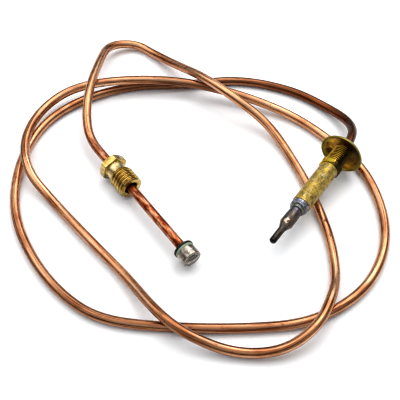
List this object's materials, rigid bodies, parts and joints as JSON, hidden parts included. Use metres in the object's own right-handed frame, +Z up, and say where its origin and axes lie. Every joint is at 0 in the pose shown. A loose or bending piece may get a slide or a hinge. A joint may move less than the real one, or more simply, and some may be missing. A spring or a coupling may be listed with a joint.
{
  "type": "thermocouple",
  "caption": "gas thermocouple: turned probe head with cup flange and lock nut, long soft copper lead in loose loops, and a contact button with a sliding union nut",
  "frame": {"origin": "on the table, under the middle of the head box", "axes": "+X along the head towards the probe tip, +Z up, +Y across the head to its left"},
  "size_m": [0.1141, 0.1287, 0.0145],
  "materials": {
    "copper": "satin bare copper tube with pale streaks, dark specks and a brown-purple heat patina near the head",
    "insulation": "woven glass-fibre sleeving",
    "inner_copper": "bright drawn copper wire",
    "flange_brass": "turned brass, oxidised dark inside the cup, bright on the lip",
    "stem_brass": "dark oxidised brass thread with bright crests",
    "lock_nut_brass": "bright yellow brass with tan stains",
    "sleeve_brass": "mottled olive-yellow brass with pale patches",
    "ferrule_steel": "blue-grey heat-tinted steel with dark specks",
    "ring_steel": "greenish grey turned steel",
    "sheath_steel": "sooty brown-grey heat-tinted stainless steel",
    "bead_metal": "glossy black weld metal",
    "element": "constantan wire",
    "ceramic": "matt white ceramic",
    "liner": "heat-resistant insulating sleeve",
    "crimp_brass": "plain brass crimp",
    "braze": "silver-yellow braze metal",
    "nut_brass": "clean pale yellow brass",
    "collar_metal": "black collar with a grey worn edge",
    "fibre": "sage-green insulating fibre",
    "bush_plastic": "plain insulating bush",
    "button_silver": "tinned silvery metal",
    "solder": "mottled grey-brown solder with dark pits"
  },
  "bodies": {
    "lead_and_head": {"lead_tube": "copper", "lead_insulation": "insulation", "lead_wire": "inner_copper", "rear_braze_collar": "braze", "flange_cup": "flange_brass", "threaded_stem": "stem_brass", "head_sleeve": "sleeve_brass", "steel_ferrule": "ferrule_steel", "ferrule_step_ring": "ring_steel", "thermo_sheath": "sheath_steel", "weld_bead": "bead_metal", "element_wire": "element", "ceramic_insulator": "ceramic", "inner_insulating_sleeve": "liner", "cold_junction_crimp": "crimp_brass", "contact_collar": "collar_metal", "insulating_washer": "fibre", "insulating_bush": "bush_plastic", "contact_button": "button_silver", "contact_solder": "solder"},
    "lock_nut_body": {"lock_nut": "lock_nut_brass"},
    "union_nut_body": {"connection_nut": "nut_brass"}
  },
  "joints": [
    {"name": "lock_nut_travel", "type": "slide", "parent": "lead_and_head", "child": "lock_nut_body", "axis": [1, 0, 0], "range_m": [-0.0071, 0]},
    {"name": "union_nut_slide", "type": "slide", "parent": "lead_and_head", "child": "union_nut_body", "axis": [0.3256, 0.9455, 0], "range_m": [-0.002, 0.0282]}
  ]
}
